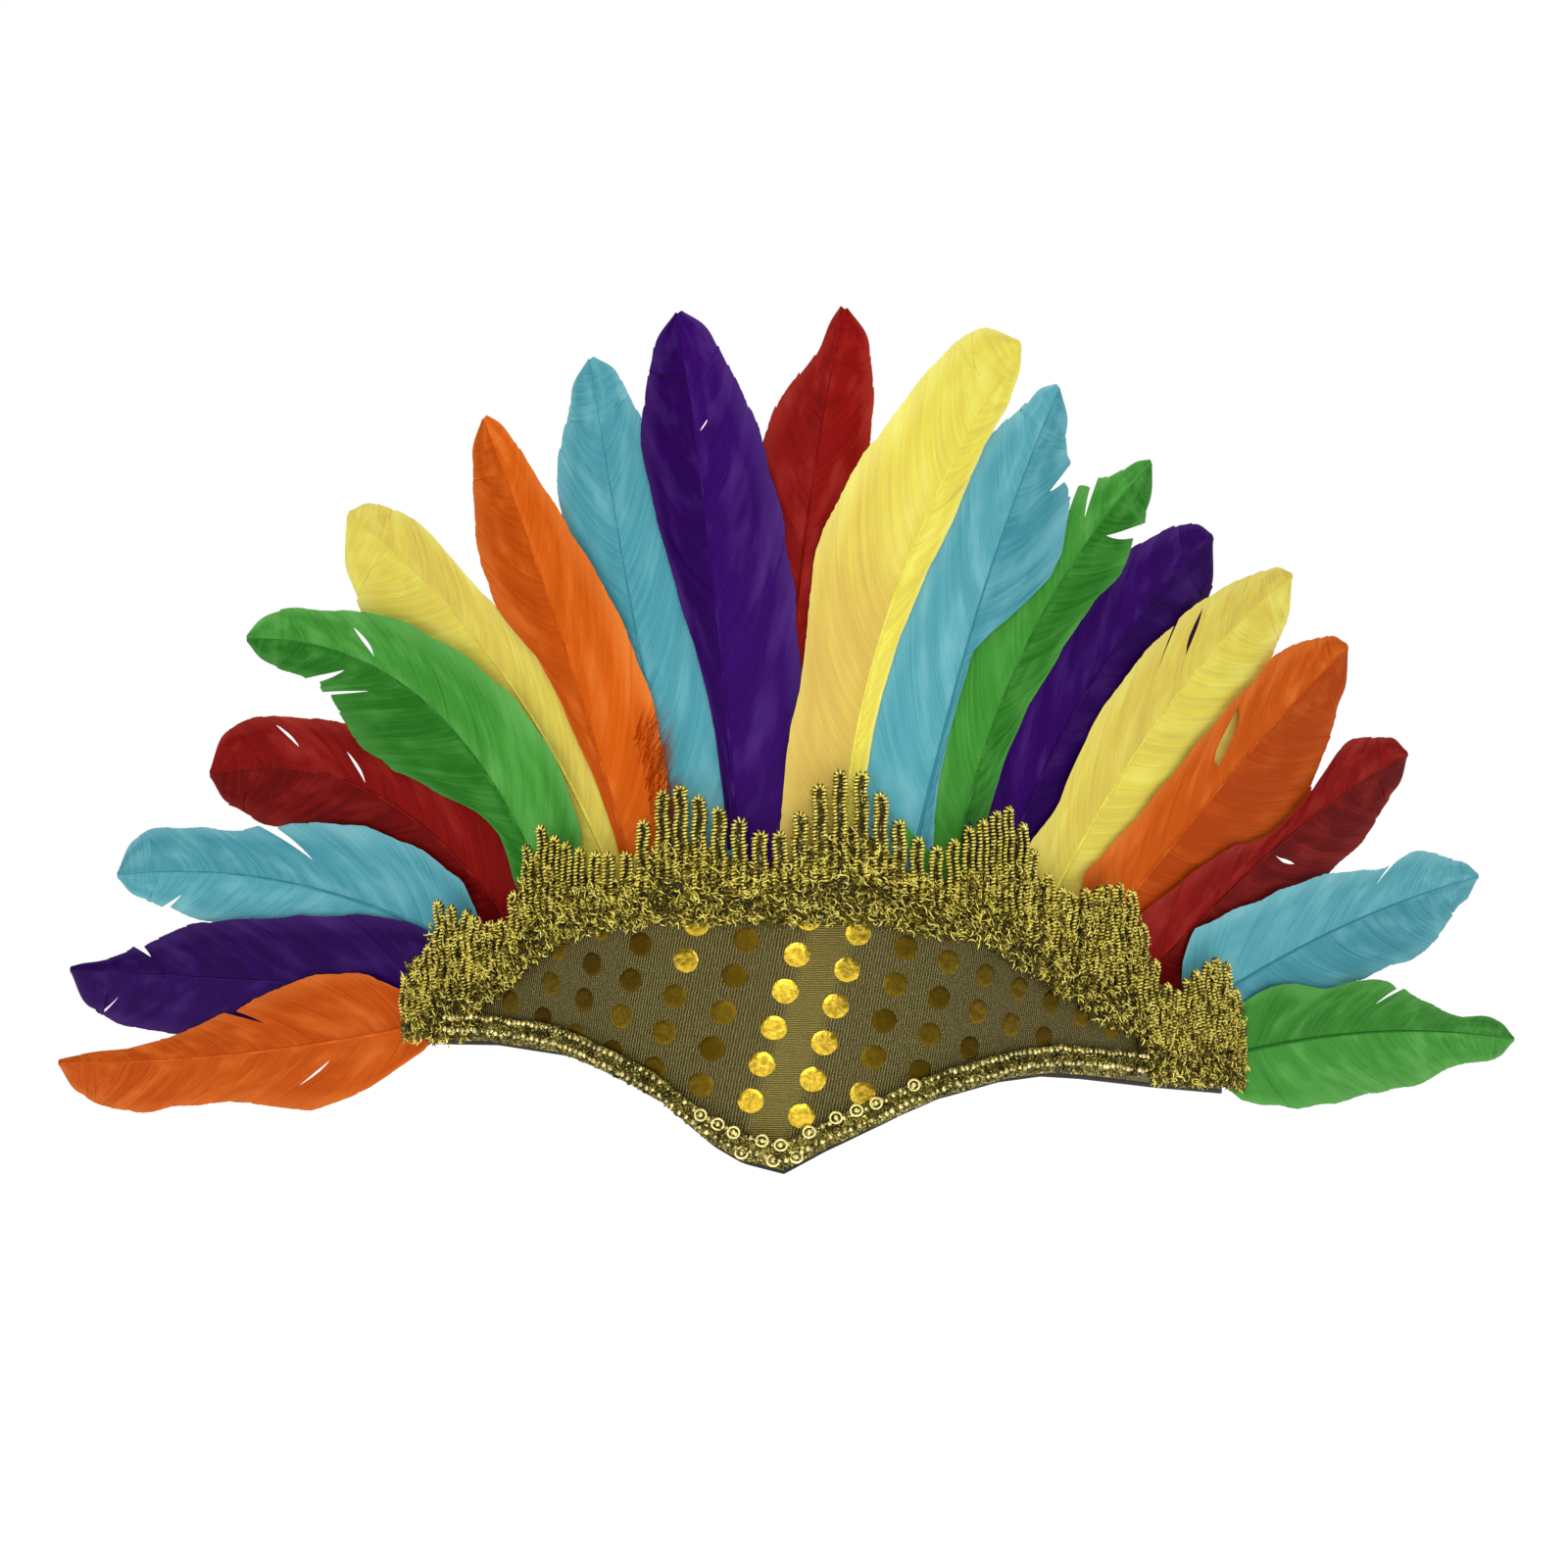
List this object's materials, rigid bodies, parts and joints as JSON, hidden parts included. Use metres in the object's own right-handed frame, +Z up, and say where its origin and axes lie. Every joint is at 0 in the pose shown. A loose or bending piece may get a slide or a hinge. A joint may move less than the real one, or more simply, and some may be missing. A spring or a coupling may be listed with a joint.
{
  "type": "carnival feather headdress",
  "caption": "Forehead band of gold cloth, metallic lace and beaded braid, pointed over the nose, with a wide fan of dyed feathers in six colours.",
  "frame": {"origin": "the band's inner face at the middle of the forehead, where it sits on the head", "axes": "+X to the right seen from the front, +Y back into the head, +Z up"},
  "size_m": [0.4166, 0.2146, 0.2145],
  "materials": {
    "felt": "matt black-brown stiff felt",
    "gold_knit": "fine ribbed metallic knit, dull olive gold",
    "gold_lace": "sparkling metallic yarn",
    "gold_braid": "beaded metallic braid",
    "dyed_orange": "satin feather",
    "dyed_purple": "satin feather",
    "dyed_turquoise": "satin feather",
    "dyed_red": "satin feather",
    "dyed_green": "satin feather",
    "dyed_yellow": "satin feather"
  },
  "bodies": {
    "root": {"backing": "felt", "front_panel": "gold_knit", "top_lace": "gold_lace", "bottom_braid": "gold_braid", "feather_01_orange": "dyed_orange", "feather_02_purple": "dyed_purple", "feather_03_turquoise": "dyed_turquoise", "feather_04_red": "dyed_red", "feather_05_green": "dyed_green", "feather_06_yellow": "dyed_yellow", "feather_07_orange": "dyed_orange", "feather_08_turquoise": "dyed_turquoise", "feather_09_purple": "dyed_purple", "feather_10_red": "dyed_red", "feather_11_yellow": "dyed_yellow", "feather_12_turquoise": "dyed_turquoise", "feather_13_green": "dyed_green", "feather_14_purple": "dyed_purple", "feather_15_yellow": "dyed_yellow", "feather_16_orange": "dyed_orange", "feather_17_red": "dyed_red", "feather_18_turquoise": "dyed_turquoise", "feather_19_green": "dyed_green"}
  },
  "joints": []
}
